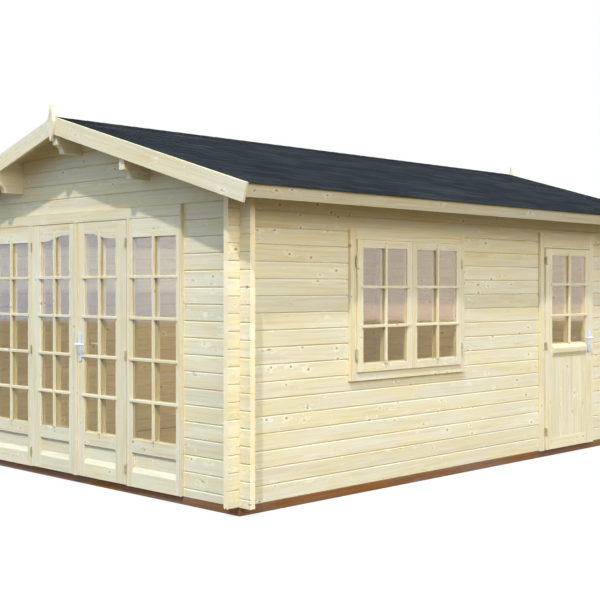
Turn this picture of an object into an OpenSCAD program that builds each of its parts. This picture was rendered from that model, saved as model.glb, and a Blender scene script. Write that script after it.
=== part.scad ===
// Garden house of interlocking logs: a double front door between two sidelights,
// a window and a half-glazed door in the right wall, and a shingled gable roof.
// Frame: +Z up, the front looks along -Y, origin under the middle of the house.

/* [Plan] */
// Width over the outer faces of the side walls
house_w = 3600; // [3300:10:4400]
// Length over the outer faces of the end walls
house_l = 5520; // [5000:10:7000]
// Height of the foundation beams
base_h = 58; // [45:1:90]
// Height of the roof's underside over the beams, at the side walls' outer faces
wall_h = 2143; // [2110:1:2260]

/* [Logs] */
// Thickness of a log
log_t = 44; // [38:1:50]
// Height of a log course
log_h = 114; // [110:1:118]
// Length of the log ends past the crossing wall
log_end = 100; // [60:5:150]
// Width of the tongue on top of a log
tongue_w = 16; // [12:1:20]
// Height of the tongue
tongue_h = 8; // [5:1:12]
// Gap over the tongue in its groove
tongue_play = 0.5; // [0.3:0.1:1]
// Bevel along the edges of a log
log_bevel = 7; // [2:0.5:8]
// Least thickness of a log cut to the roof's slope
feather_h = 6; // [4:1:12]
// Gap left between seated pieces
fit_gap = 0.3; // [0.2:0.05:0.4]

/* [Roof] */
// Slope of the roof in degrees
roof_pitch = 16.5; // [14:0.1:19]
// Thickness of the roof boards
deck_t = 18; // [15:1:25]
// Thickness of the shingle layer
shingle_t = 5; // [3:0.5:8]
// Roof past the end walls, to the face of the barge boards
gable_overhang = 245; // [180:5:300]
// Roof past the side walls, to the face of the eave boards
eave_overhang = 305; // [200:5:350]
// Shingles past the face of the eave boards
shingle_drip = 15; // [5:1:25]
// Thickness of barge boards, eave boards and finials
trim_t = 20; // [16:1:26]
// Height of the eave boards
eave_board_h = 90; // [70:1:120]
// Width of the barge boards
barge_w = 127; // [100:1:150]
// Barge boards past the face of the eave boards
barge_past = 25; // [18:1:60]
// Width of the purlins
purlin_w = 58; // [45:1:70]
// Depth of the purlins
purlin_h = 248; // [140:1:280]
// Distance of the slope purlins from the ridge line
purlin_x = 830; // [650:10:1000]
// Radius of the hollow cut under each purlin end
purlin_cove_r = 60; // [30:1:80]
// Height of the finials above the ridge
finial_rise = 84; // [40:1:110]
// Length of the finials below the ridge
finial_drop = 187; // [150:1:260]
// Depth of the finials' shoulder below the ridge
finial_shoulder = 40; // [20:1:70]
// Width of the finials at the shoulder
finial_w = 84; // [60:1:100]
// Width of the finials' blunt tips
finial_tip_w = 4; // [3:0.5:8]

/* [Floor] */
// Width of the foundation beams
beam_w = 45; // [40:1:60]
// Thickness of the floor boards
floor_t = 18; // [15:1:25]
// Width of the floor joists
joist_w = 60; // [40:1:80]
// Distance between the floor joists
joist_pitch = 600; // [400:10:800]

/* [Front doors] */
// Whole end-wall courses between the front doors' head and the eaves
front_top_count = 1; // [1:1:2]
// Width of the front unit over its outer posts
unit_w = 2470; // [2300:10:2700]
// Clear width between the door posts
doorway_w = 1250; // [1150:10:1350]
// Thickness of the posts beside the doors
mullion_t = 25; // [20:1:40]
// Thickness of the outer posts
post_t = 15; // [12:1:30]
// Height of the head over the doors
head_h = 78; // [60:1:90]
// Depth of the front posts
post_d = 78; // [70:1:95]
// Distance of the front posts' face from the wall's face
post_proud = 30; // [20:1:40]
// Distance of the leaves' face from the posts' face
leaf_proud = 2; // [0:0.5:8]
// Thickness of the door leaves
leaf_t = 44; // [38:1:48]
// Gap round a door leaf
leaf_gap = 5; // [5:0.5:8]
// Gap below the door leaves
foot_gap = 6; // [5:0.5:10]
// Gap between a closed leaf and its stops
stop_gap = 6; // [5:0.5:8]
// Width of the stops behind the leaves
stop_w = 14; // [10:1:20]
// Height of the thresholds
threshold_h = 20; // [15:1:30]
// Gap between the two front leaves
meet_gap = 7; // [7:0.5:10]
// Width of the hinge stiles of the front leaves
hinge_stile_w = 124; // [100:1:140]
// Width of the glass in a front leaf
leaf_glass_w = 396; // [320:1:420]
// Width of the cover strip at the middle
cover_w = 42; // [30:1:60]
// Thickness of the cover strip
cover_t = 18; // [10:1:22]
// Width of the sidelight stiles
sidelight_stile_w = 38; // [30:1:60]
// Distance of the sidelights behind the posts' face
sidelight_set = 3; // [1:0.5:8]
// Thickness of the sidelights
sidelight_t = 40; // [34:1:46]
// Height of the lower edge of the recessed panels
panel_low_z = 142; // [110:1:160]
// Height of the upper edge of the recessed panels
panel_high_z = 246; // [220:1:280]
// Height of the lower edge of the front glass
front_glass_z = 343; // [320:1:420]
// Height of the top rails at the hinge stiles
top_rail_h = 129; // [110:1:160]
// Rise of the curved top edge of the door glass
ogee_rise = 42; // [20:1:60]
// Height of the weathered slope on a rail
weather_h = 38; // [20:1:50]
// Depth of the weathered slope on a rail
weather_d = 16; // [8:1:20]
// Thickness of the recessed panels
panel_t = 16; // [12:1:20]
// Thickness of the glass
glass_t = 4; // [3:0.5:6]
// Depth of the glass behind the face of its frame
glass_set = 8; // [5:1:16]

/* [Side window] */
// Height of the window's sill, taken to the nearest log joint
window_sill_h = 798; // [570:1:912]
// Side-wall courses over the heads of the window and the side door
side_top_count = 3; // [3:1:4]
// Distance of the window's middle from the front face
window_x = 1724; // [1500:1:1850]
// Width of the window over its casing
window_w = 1357; // [1200:1:1450]
// Width of the casing boards
casing_w = 60; // [50:1:75]
// Height of the casing board over a head
casing_head_h = 74; // [60:1:90]
// Height of the second board over the side door's head
crown_h = 58; // [40:1:70]
// Thickness of the casing boards
casing_t = 25; // [18:1:32]
// Casing boards past the cut in the logs
casing_lap = 38; // [25:1:45]
// Distance of the sashes and the side leaf in front of the casing
sash_proud = 15; // [10:1:24]
// Width of the sash stiles
sash_stile_w = 58; // [48:1:70]
// Gap round a sash
sash_gap = 2; // [1:0.5:4]
// Height of the frame's sill
sill_h = 18; // [15:1:30]
// Depth of the sill's housing in the log below
housing_d = 1; // [0.5:0.1:3]
// Frame behind the sashes and the side leaf
jamb_cover = 15; // [10:1:20]
// Frame past the inner face of the logs
frame_past = 6; // [2:1:12]
// Height of the frame's head over a sash or the side leaf
side_head_h = 55; // [45:1:65]

/* [Side door] */
// Distance of the side door's middle from the front face
side_door_x = 3954; // [3700:1:4100]
// Width of the side door leaf
side_leaf_w = 754; // [700:1:850]
// Thickness of the side door's jambs
jamb_t = 40; // [36:1:60]
// Width of the side leaf's stiles
side_stile_w = 97; // [80:1:115]
// Height of the side leaf's bottom rail
side_bottom_h = 95; // [80:1:130]
// Height of the lower edge of the side leaf's drip rail
drip_rail_z = 815; // [760:1:860]
// Height of the lower edge of the side leaf's glass
side_glass_z = 928; // [900:1:1000]
// Height of the side leaf's top rail
side_top_h = 63; // [55:1:110]
// Projection of the drip rail's nose
drip_nose = 14; // [8:1:20]
// Height of the drip rail's nose
drip_nose_h = 38; // [25:1:50]
// Flat strip under the drip rail's nose
drip_strip_h = 10; // [5:1:20]
// Depth of the boarded field behind the side leaf's face
field_set = 8; // [4:1:12]

/* [Door fittings] */
// Radius of the hinge barrels
knuckle_r = 7; // [6:0.5:8]
// Length of half a hinge barrel
knuckle_h = 30; // [24:1:40]
// Distance of the hinge barrels from the leaf's face
knuckle_gap = 1.5; // [1:0.1:3]
// Length of the hinge barrels' pointed tips
tip_h = 8; // [5:1:12]
// Radius at the end of the pointed tips
tip_r = 2; // [1:0.5:3]
// Length of the hinge pins in the upper barrels
pin_up = 25; // [18:1:28]
// Gap between the two halves of a hinge
plate_gap = 0.5; // [0.3:0.1:1]
// Radius of the hinge pins
pin_r = 4; // [3:0.1:4.5]
// Radial clearance of the hinge pins and lever necks
run_gap = 0.05; // [0.03:0.01:0.09]
// Depth of the hinge plates along the leaf's edge
hinge_plate_d = 30; // [20:1:36]
// Height of the lowest front hinges over the leaf's lower edge
front_hinge_low = 120; // [80:1:200]
// Depth of the highest front hinges under the leaf's upper edge
front_hinge_high = 162; // [80:1:200]
// Height of the lowest side hinge over the leaf's lower edge
side_hinge_low = 163; // [80:1:200]
// Depth of the highest side hinge under the leaf's upper edge
side_hinge_high = 109; // [80:1:200]
// Height of the front lever
front_lever_z = 999; // [900:1:1100]
// Distance of the front lever from the leaf's meeting edge
front_backset = 78; // [70:1:95]
// Height of the side lever
side_lever_z = 967; // [950:1:1050]
// Distance of the side lever from the leaf's free edge
side_backset = 42; // [30:1:60]
// Height of the back plates
plate_h = 214; // [180:1:240]
// Width of the back plates
plate_w = 38; // [30:1:44]
// Thickness of the back plates
plate_t = 8; // [5:1:10]
// Height of the lever over the middle of its back plates
plate_drop = 23; // [0:1:40]
// Length of the lever's grip
grip_l = 105; // [80:1:120]
// Radius of the lever's grip
grip_r = 8; // [6:0.5:9]
// Distance of the grip's axis from the back plate
grip_out = 40; // [30:1:50]
// Thickness of the lever's neck over its grip
neck_more = 1; // [0.5:0.5:3]
// Radius of the spindle
spindle_r = 6; // [4:0.5:7]
// Radius of the spindle's hole in the leaf
spindle_hole_r = 12; // [11:0.5:15]

/* [Hidden] */
$fn = 48;
eps = 1;

// Colours
wood_c = "#e6dcb8";
treated_c = "#6b4527";
shingle_c = "#363c46";
glass_c = [0.72, 0.70, 0.72, 0.4];
steel_c = "#c9ced2";
hinge_c = "#9a9370";

// Walls
half_w = house_w / 2;
half_l = house_l / 2;
quarter_h = log_h / 4;
slope = tan(roof_pitch);
side_courses = ceil((wall_h - 2 * feather_h) / log_h);
front_head_course = floor(wall_h / log_h) - front_top_count;
side_head_course = side_courses - side_top_count;
window_sill_course = round(window_sill_h / log_h);
last_gable_course = ceil((wall_h + (half_w - purlin_w / 2) * slope - 2 * feather_h) / log_h + 0.5) - 1;

// Roof
deck_rise = deck_t / cos(roof_pitch);
shingle_rise = shingle_t / cos(roof_pitch);
deck_half_w = half_w + eave_overhang - trim_t;
deck_half_l = half_l + gable_overhang - trim_t;
barge_half_w = half_w + eave_overhang + barge_past;
finial_steps = 8;
spire_power = 1.15;
drop_power = 1.7;

// Front unit, in heights over the beams
front_head_z = (front_head_course + 0.5) * log_h;
leaf_z = foot_gap;
front_leaf_top = front_head_z - head_h - leaf_gap;
front_glass_top = front_leaf_top - top_rail_h;
front_face = -post_proud - leaf_proud;
ogee_steps = 16;
leaf_edge_x = doorway_w / 2 - leaf_gap;
right_leaf_w = leaf_edge_x + cover_w / 2;
left_leaf_w = leaf_edge_x - cover_w / 2 - meet_gap;
stop_y = front_face + leaf_t + stop_gap;
sidelight_x = doorway_w / 2 + mullion_t + fit_gap;
sidelight_w = unit_w / 2 - post_t - fit_gap - sidelight_x;
sidelight_face = -post_proud + sidelight_set;

// Side openings, along the wall from the front face
sash_t = casing_t + sash_proud;
side_face = -sash_t;
side_head_z = side_head_course * log_h;
side_top = side_head_z - side_head_h;
window_sill_z = window_sill_course * log_h;
sash_z = window_sill_z + sill_h;
window_a = window_x - window_w / 2 + casing_lap;
window_b = window_x + window_w / 2 - casing_lap;
sash_w = (window_w - 2 * casing_w - 3 * sash_gap) / 2;
sash_a = window_x - window_w / 2 + casing_w + sash_gap;
leaf_a = side_door_x - side_leaf_w / 2;
leaf_b = side_door_x + side_leaf_w / 2;
door_a = leaf_a + jamb_cover - jamb_t;
door_b = leaf_b - jamb_cover + jamb_t;
frame_back = log_t + frame_past;

// Fittings
axis_out = knuckle_r + knuckle_gap;
neck_r = grip_r + neck_more;

// Underside of the roof boards at a distance from the ridge line
function roof_under(x) = base_h + wall_h + (half_w - abs(x)) * slope;

// Reach of an end-wall log from the middle: to the log ends, or to the roof
function end_reach(z) =
    min(half_w + log_end, half_w + (base_h + wall_h - z - feather_h) / slope);

// Share of a climb, level at both ends
function climb(t) = (1 - cos(180 * t)) / 2;

// Curved edge with a flat foot, a steep middle and a flat crown between two points
function ogee(x0, x1, z0, rise) =
    [for (i = [0 : ogee_steps])
        let (t = i / ogee_steps)
        [x0 + (x1 - x0) * t, z0 + rise * climb(climb(t))]];

// Section of a log with a tongue above and a groove below
function log_section(y, z) =
    let (
        b = log_bevel,
        top = log_h - fit_gap,
        t0 = (log_t - tongue_w) / 2,
        t1 = (log_t + tongue_w) / 2
    )
    [for (p = [
        [b, 0], [t0 - fit_gap, 0], [t0 - fit_gap, tongue_h], [t1 + fit_gap, tongue_h], [t1 + fit_gap, 0],
        [log_t - b, 0], [log_t, b], [log_t, top - b], [log_t - b, top], [t1, top], [t1, top + tongue_h - tongue_play],
        [t0, top + tongue_h - tongue_play], [t0, top], [b, top], [0, top - b], [0, b]
    ]) [y + p[0], z + p[1]]];

// A Y-Z section drawn out along X, an X-Z section along Y, and a plain timber
module along_x(x0, x1, section) {
    translate([x0, 0, 0])
        rotate([90, 0, 90])
            linear_extrude(x1 - x0)
                polygon(section);
}

module along_y(y0, y1, section) {
    translate([0, y1, 0])
        rotate([90, 0, 0])
            linear_extrude(y1 - y0)
                polygon(section);
}

module timber(x0, x1, y0, y1, z0, z1) {
    translate([x0, y0, z0])
        cube([x1 - x0, y1 - y0, z1 - z0]);
}

// Wall frames: X along the wall, Y inwards from its outer face, Z over the beams
module on_front() {
    translate([0, -half_l, base_h])
        children();
}

module on_right() {
    translate([half_w, -half_l, base_h])
        rotate([0, 0, 90])
            children();
}

// Leaf frames: X from the hinge edge, Y inwards from the leaf's face
module on_left_leaf() {
    on_front()
        translate([-leaf_edge_x, front_face, 0])
            children();
}

module on_right_leaf() {
    on_front()
        translate([leaf_edge_x, front_face, 0])
            mirror([1, 0, 0])
                children();
}

module on_side_leaf() {
    on_right()
        translate([leaf_a, side_face, 0])
            children();
}

// One log along X, notched above and below where it crosses other walls
module notched_log(x0, x1, y, z, crossings) {
    difference() {
        along_x(x0, x1, log_section(y, z));
        for (c = crossings) {
            if (c > x0 && c < x1) {
                timber(c - fit_gap, c + log_t + fit_gap, y - eps, y + log_t + eps,
                    z + 3 * quarter_h - fit_gap / 2, z + log_h + tongue_h + eps);
                timber(c - fit_gap, c + log_t + fit_gap, y - eps, y + log_t + eps,
                    z - eps, z + quarter_h + fit_gap / 2);
            }
        }
    }
}

// One log of an end wall; course 0 is the upper half of a log
module end_log(course, x0, x1, y) {
    z = base_h + (course - 0.5) * log_h;
    reach = half_w + log_end + eps;
    crossings = [-half_w, half_w - log_t];
    if (course == 0 || z + log_h + tongue_h > roof_under(reach))
        intersection() {
            notched_log(x0, x1, y, z, crossings);
            along_y(y - eps, y + log_t + eps, [
                [-reach, base_h], [reach, base_h], [reach, roof_under(reach) - fit_gap],
                [0, roof_under(0) - fit_gap], [-reach, roof_under(reach) - fit_gap]
            ]);
        }
    else
        notched_log(x0, x1, y, z, crossings);
}

// Whole end-wall logs over a range of courses, cut out for the purlins near the roof
module end_courses(first, last, y) {
    for (course = [first : last]) {
        reach = end_reach(base_h + (course - 0.5) * log_h);
        difference() {
            end_log(course, -reach, reach, y);
            if ((course + 1) * log_h > wall_h)
                purlin_cuts(y);
        }
    }
}

module purlin_cuts(y) {
    for (x = [-purlin_x, 0, purlin_x])
        along_y(y - 2 * eps, y + log_t + 2 * eps, purlin_section(x, fit_gap));
}

// One log of a side wall, at distances from the front face
module side_log(course, a, b, x) {
    z = base_h + course * log_h;
    if (z + log_h + tongue_h > roof_under(half_w))
        intersection() {
            rotate([0, 0, 90])
                notched_log(a - half_l, b - half_l, -x - log_t, z, [-half_l, half_l - log_t]);
            along_y(-half_l - 2 * log_end, half_l + 2 * log_end, [
                [-half_w - eps, 0], [half_w + eps, 0], [half_w + eps, roof_under(half_w + eps) - fit_gap],
                [0, roof_under(0)], [-half_w - eps, roof_under(half_w + eps) - fit_gap]
            ]);
        }
    else
        rotate([0, 0, 90])
            notched_log(a - half_l, b - half_l, -x - log_t, z, [-half_l, half_l - log_t]);
}

module right_courses(first, last, a, b) {
    for (course = [first : last])
        side_log(course, a, b, half_w - log_t);
}

// Foundation and floor
module foundation_beams() {
    color(treated_c) {
        for (y = [-half_l, half_l - beam_w])
            timber(-half_w, half_w, y, y + beam_w, 0, base_h - fit_gap);
        for (x = [-half_w, half_w - beam_w])
            timber(x, x + beam_w, -half_l + beam_w + fit_gap, half_l - beam_w - fit_gap, 0, base_h - fit_gap);
    }
}

module floor_joists() {
    span = house_l - 2 * beam_w - joist_w;
    count = ceil(span / joist_pitch);
    color(treated_c)
        for (i = [0.5 : count - 0.5]) {
            y = -span / 2 + span * i / count - joist_w / 2;
            timber(-half_w + beam_w + fit_gap, half_w - beam_w - fit_gap, y, y + joist_w,
                0, base_h - floor_t - fit_gap);
        }
}

module floor_boards() {
    edge = max(beam_w, log_t) + fit_gap;
    color(wood_c)
        timber(-half_w + edge, half_w - edge, -half_l + edge, half_l - edge, base_h - floor_t, base_h);
}

// Log walls
module front_wall_left() {
    color(wood_c)
        for (course = [0 : front_head_course])
            end_log(course, -half_w - log_end, -unit_w / 2 - fit_gap, -half_l);
}

module front_wall_right() {
    color(wood_c)
        for (course = [0 : front_head_course])
            end_log(course, unit_w / 2 + fit_gap, half_w + log_end, -half_l);
}

module front_gable() {
    color(wood_c)
        end_courses(front_head_course + 1, last_gable_course, -half_l);
}

module rear_wall() {
    color(wood_c)
        end_courses(0, front_head_course, half_l - log_t);
}

module rear_gable() {
    color(wood_c)
        end_courses(front_head_course + 1, last_gable_course, half_l - log_t);
}

module left_wall() {
    color(wood_c)
        for (course = [0 : side_courses - 1])
            side_log(course, -log_end, house_l + log_end, -half_w);
}

// The logs below the window lose their tongue where its sill lies in a shallow housing
module right_wall_lower() {
    color(wood_c) {
        right_courses(0, window_sill_course - 2, -log_end, door_a - fit_gap);
        difference() {
            side_log(window_sill_course - 1, -log_end, door_a - fit_gap, half_w - log_t);
            on_right()
                timber(window_a - fit_gap, window_b + fit_gap, -eps, log_t + eps,
                    window_sill_z - housing_d, window_sill_z + 2 * tongue_h);
        }
    }
}

module right_wall_front() {
    color(wood_c)
        right_courses(window_sill_course, side_head_course - 1, -log_end, window_a - fit_gap);
}

module right_wall_middle() {
    color(wood_c)
        right_courses(window_sill_course, side_head_course - 1, window_b + fit_gap, door_a - fit_gap);
}

module right_wall_rear() {
    color(wood_c)
        right_courses(0, side_head_course - 1, door_b + fit_gap, house_l + log_end);
}

module right_wall_top() {
    color(wood_c)
        right_courses(side_head_course, side_courses - 1, -log_end, house_l + log_end);
}

// Purlins, with the upper side cut to the roof and a hollow under each end
function purlin_section(x, gap) =
    let (
        a = x - purlin_w / 2 - gap,
        b = x + purlin_w / 2 + gap,
        low = roof_under(x) - purlin_h - gap,
        lift = gap - fit_gap
    )
    x == 0
        ? [[a, low], [b, low], [b, roof_under(b) + lift], [0, roof_under(0) + lift], [a, roof_under(a) + lift]]
        : [[a, low], [b, low], [b, roof_under(b) + lift], [a, roof_under(a) + lift]];

module purlin(x) {
    reach = deck_half_l - fit_gap;
    difference() {
        along_y(-reach, reach, purlin_section(x, 0));
        for (y = [-reach, reach])
            translate([x - purlin_w, y, roof_under(x) - purlin_h])
                rotate([0, 90, 0])
                    cylinder(r = purlin_cove_r, h = 2 * purlin_w);
    }
}

module ridge_purlin() {
    color(wood_c)
        purlin(0);
}

module slope_purlins() {
    color(wood_c)
        for (x = [-purlin_x, purlin_x])
            purlin(x);
}

// Point at the eaves: out past the roof boards along the slope, and up square to it
function eave_point(out, up) = [
    deck_half_w + out * cos(roof_pitch) + up * sin(roof_pitch),
    roof_under(deck_half_w) - out * sin(roof_pitch) + up * cos(roof_pitch)
];

// Roof boards and shingles: a layer of one slope, with its lower edge cut square
module roof_layer(out, reach_y, low, high) {
    a = fit_gap / 2;
    along_y(-reach_y, reach_y, [
        [a, roof_under(a) + low / cos(roof_pitch)], eave_point(out, low),
        eave_point(out, high), [a, roof_under(a) + high / cos(roof_pitch)]
    ]);
}

module left_roof_boards() {
    color(wood_c)
        mirror([1, 0, 0])
            roof_layer(0, deck_half_l, 0, deck_t);
}

module right_roof_boards() {
    color(wood_c)
        roof_layer(0, deck_half_l, 0, deck_t);
}

module left_shingles() {
    color(shingle_c)
        mirror([1, 0, 0])
            roof_layer(trim_t + shingle_drip, deck_half_l - fit_gap, deck_t + fit_gap, deck_t + shingle_t);
}

module right_shingles() {
    color(shingle_c)
        roof_layer(trim_t + shingle_drip, deck_half_l - fit_gap, deck_t + fit_gap, deck_t + shingle_t);
}

// Barge boards, cut plumb at the ridge and square at the eaves
module barge_pair(y) {
    top = deck_rise + shingle_rise;
    a = fit_gap / 2;
    for (side = [0, 1])
        mirror([side, 0, 0])
            along_y(y, y + trim_t, [
                [a, roof_under(a) + top],
                [a, roof_under(a) + top - barge_w / cos(roof_pitch)],
                [barge_half_w - barge_w * sin(roof_pitch),
                    roof_under(barge_half_w) + top - barge_w * cos(roof_pitch)],
                [barge_half_w, roof_under(barge_half_w) + top]
            ]);
}

module front_barge_boards() {
    color(wood_c)
        barge_pair(-half_l - gable_overhang);
}

module rear_barge_boards() {
    color(wood_c)
        barge_pair(half_l + gable_overhang - trim_t);
}

// Finials: a drop that rounds to a point below the shoulder and a spire above it
module finials() {
    ridge = roof_under(0) + deck_rise + shingle_rise;
    shoulder = ridge - finial_shoulder;
    w = finial_w / 2;
    tip = finial_tip_w / 2;
    drop = [for (i = [finial_steps : -1 : 1])
        let (t = i / finial_steps)
        [w - (w - tip) * pow(t, drop_power), shoulder - (finial_drop - finial_shoulder) * t]];
    spire = [for (i = [0 : finial_steps])
        let (t = i / finial_steps)
        [tip + (w - tip) * pow(1 - t, spire_power), shoulder + (finial_rise + finial_shoulder) * t]];
    half = concat(drop, spire);
    outline = concat(half, [for (i = [len(half) - 1 : -1 : 0]) [-half[i][0], half[i][1]]]);
    color(wood_c)
        for (y = [-half_l - gable_overhang - trim_t - fit_gap, half_l + gable_overhang + fit_gap])
            along_y(y, y + trim_t, outline);
}

// Eave boards, square to the slope like the roof boards' ends
module eave_boards() {
    low = deck_t - eave_board_h;
    reach = deck_half_l - fit_gap;
    color(wood_c)
        for (side = [0, 1])
            mirror([side, 0, 0])
                along_y(-reach, reach, [
                    eave_point(fit_gap, low), eave_point(trim_t, low),
                    eave_point(trim_t, deck_t), eave_point(fit_gap, deck_t)
                ]);
}

// Rail whose upper outer edge slopes to shed water
module weathered_rail(x0, x1, t, z0, z1) {
    along_x(x0, x1, [[0, z0], [t, z0], [t, z1], [weather_d, z1], [0, z1 - weather_h]]);
}

// Framed panel with a recessed field below and glass above
module glazed_panel(w, z0, z1, stile_a, stile_b, t, glass_top, rise) {
    a = stile_a + fit_gap;
    b = w - stile_b - fit_gap;
    timber(0, stile_a, 0, t, z0, z1);
    timber(w - stile_b, w, 0, t, z0, z1);
    weathered_rail(a, b, t, z0, panel_low_z);
    timber(a, b, weather_d + fit_gap, weather_d + panel_t, panel_low_z + fit_gap, panel_high_z - fit_gap);
    timber(a, b, 0, t, panel_high_z, front_glass_z);
    along_y(0, t, concat(ogee(a, b, glass_top, rise), [[b, z1], [a, z1]]));
}

// Pane that fills the glass opening of a framed panel
module panel_pane(w, stile_a, stile_b, glass_top, rise) {
    a = stile_a + 2 * fit_gap;
    b = w - stile_b - 2 * fit_gap;
    along_y(glass_set, glass_set + glass_t,
        concat([[b, front_glass_z + fit_gap], [a, front_glass_z + fit_gap]],
            ogee(a, b, glass_top - fit_gap, rise)));
}

// Outer posts, door posts with a stop behind the leaves, head and threshold
module front_door_frame() {
    x = doorway_w / 2;
    y0 = -post_proud;
    y1 = post_d - post_proud;
    head_z = front_head_z - head_h;
    color(wood_c)
        on_front() {
            for (side = [0, 1])
                mirror([side, 0, 0]) {
                    timber(unit_w / 2 - post_t, unit_w / 2, y0, y1, fit_gap, front_head_z - fit_gap);
                    translate([0, 0, fit_gap])
                        linear_extrude(head_z - 2 * fit_gap)
                            polygon([
                                [x, y0], [x + mullion_t, y0], [x + mullion_t, y1],
                                [x - stop_w, y1], [x - stop_w, stop_y], [x, stop_y]
                            ]);
                }
            along_x(-unit_w / 2 + post_t + fit_gap, unit_w / 2 - post_t - fit_gap, [
                [y0, head_z], [y1, head_z], [y1, front_head_z - fit_gap], [y0, front_head_z - fit_gap]
            ]);
            timber(-x + stop_w + fit_gap, x - stop_w - fit_gap, stop_y, y1, fit_gap, threshold_h);
        }
}

module each_sidelight() {
    on_front()
        for (side = [0, 1])
            mirror([side, 0, 0])
                translate([sidelight_x, sidelight_face, 0])
                    children();
}

module sidelights() {
    color(wood_c)
        each_sidelight()
            glazed_panel(sidelight_w, fit_gap, front_head_z - head_h - fit_gap,
                sidelight_stile_w, sidelight_stile_w, sidelight_t, front_glass_top, 0);
}

module sidelight_glass() {
    color(glass_c)
        each_sidelight()
            panel_pane(sidelight_w, sidelight_stile_w, sidelight_stile_w, front_glass_top, 0);
}

// Front leaves; the cover strip rides on the right one and stays off the left one
function meet_stile(w) = w - hinge_stile_w - leaf_glass_w;

module front_left_leaf() {
    color(wood_c)
        on_left_leaf()
            glazed_panel(left_leaf_w, leaf_z, front_leaf_top, hinge_stile_w, meet_stile(left_leaf_w),
                leaf_t, front_glass_top, ogee_rise);
}

module front_right_leaf() {
    color(wood_c)
        on_right_leaf() {
            difference() {
                glazed_panel(right_leaf_w, leaf_z, front_leaf_top, hinge_stile_w, meet_stile(right_leaf_w),
                    leaf_t, front_glass_top, ogee_rise);
                spindle_hole(right_leaf_w - front_backset, front_lever_z);
            }
            timber(right_leaf_w - cover_w, right_leaf_w, -cover_t, -fit_gap, leaf_z, front_leaf_top);
        }
}

module front_left_glass() {
    color(glass_c)
        on_left_leaf()
            panel_pane(left_leaf_w, hinge_stile_w, meet_stile(left_leaf_w), front_glass_top, ogee_rise);
}

module front_right_glass() {
    color(glass_c)
        on_right_leaf()
            panel_pane(right_leaf_w, hinge_stile_w, meet_stile(right_leaf_w), front_glass_top, ogee_rise);
}

module spindle_hole(x, z) {
    translate([x, -eps, z])
        rotate([-90, 0, 0])
            cylinder(r = spindle_hole_r, h = leaf_t + 2 * eps);
}

// Hinges: barrels on the gap beside the leaf, plates on the leaf's edge and on the post
function hinge_heights(low, high, z0, z1) = [z0 + low, (z0 + low + z1 - high) / 2, z1 - high];
front_hinges = hinge_heights(front_hinge_low, front_hinge_high, leaf_z, front_leaf_top);
side_hinge_set = hinge_heights(side_hinge_low, side_hinge_high, leaf_z, side_top);

module at_hinges(heights) {
    for (z = heights)
        translate([-leaf_gap / 2, -axis_out, z])
            children();
}

module leaf_knuckle() {
    difference() {
        union() {
            translate([0, 0, plate_gap / 2])
                cylinder(r = knuckle_r, h = knuckle_h);
            translate([0, 0, plate_gap / 2 + knuckle_h])
                cylinder(r1 = knuckle_r, r2 = tip_r, h = tip_h);
            timber(plate_gap, leaf_gap / 2 - fit_gap, pin_r + 1, axis_out + hinge_plate_d,
                plate_gap / 2, knuckle_h);
        }
        translate([0, 0, -eps])
            cylinder(r = pin_r + run_gap, h = pin_up + 2 * eps);
    }
}

module frame_knuckle() {
    translate([0, 0, -plate_gap / 2 - knuckle_h])
        cylinder(r = knuckle_r, h = knuckle_h);
    translate([0, 0, -plate_gap / 2 - knuckle_h - tip_h])
        cylinder(r1 = tip_r, r2 = knuckle_r, h = tip_h);
    translate([0, 0, -knuckle_h])
        cylinder(r = pin_r, h = knuckle_h + pin_up);
    timber(-leaf_gap / 2 + fit_gap, -plate_gap, pin_r + 1, axis_out + hinge_plate_d, -knuckle_h, -plate_gap / 2);
}

module hinge_pins() {
    color(hinge_c) {
        on_left_leaf() at_hinges(front_hinges) frame_knuckle();
        on_right_leaf() at_hinges(front_hinges) frame_knuckle();
        on_side_leaf() at_hinges(side_hinge_set) frame_knuckle();
    }
}

module front_left_hinges() {
    color(hinge_c)
        on_left_leaf() at_hinges(front_hinges) leaf_knuckle();
}

module front_right_hinges() {
    color(hinge_c)
        on_right_leaf() at_hinges(front_hinges) leaf_knuckle();
}

module side_hinges() {
    color(hinge_c)
        on_side_leaf() at_hinges(side_hinge_set) leaf_knuckle();
}

// Back plates on both faces of a leaf, and one lever through them
module back_plates(x, z) {
    end_z = (plate_h - plate_w) / 2;
    for (y = [-plate_t, leaf_t + fit_gap])
        translate([x, y + plate_t - fit_gap, z])
            rotate([90, 0, 0])
                linear_extrude(plate_t - fit_gap)
                    difference() {
                        translate([0, -plate_drop]) {
                            square([plate_w, 2 * end_z], center = true);
                            for (side = [-1, 1])
                                translate([0, side * end_z])
                                    circle(d = plate_w);
                        }
                        circle(r = neck_r + run_gap);
                    }
}

module lever(x, z) {
    out = plate_t + grip_out;
    translate([x, 0, z]) {
        translate([0, -out, 0])
            rotate([-90, 0, 0])
                cylinder(r = spindle_r, h = leaf_t + 2 * out);
        for (face = [0, 1])
            translate([0, face * leaf_t, 0])
                mirror([0, face, 0]) {
                    translate([0, -out, 0]) {
                        rotate([-90, 0, 0])
                            cylinder(r = neck_r, h = out - fit_gap);
                        sphere(r = neck_r);
                        rotate([0, -90, 0])
                            cylinder(r = grip_r, h = grip_l);
                        translate([-grip_l, 0, 0])
                            sphere(r = grip_r);
                    }
                }
    }
}

module front_back_plates() {
    color(steel_c)
        on_right_leaf() back_plates(right_leaf_w - front_backset, front_lever_z);
}

module front_lever() {
    color(steel_c)
        on_right_leaf() lever(right_leaf_w - front_backset, front_lever_z);
}

module side_back_plates() {
    color(steel_c)
        on_side_leaf() back_plates(side_leaf_w - side_backset, side_lever_z);
}

module side_lever() {
    color(steel_c)
        on_side_leaf() lever(side_leaf_w - side_backset, side_lever_z);
}

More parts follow.
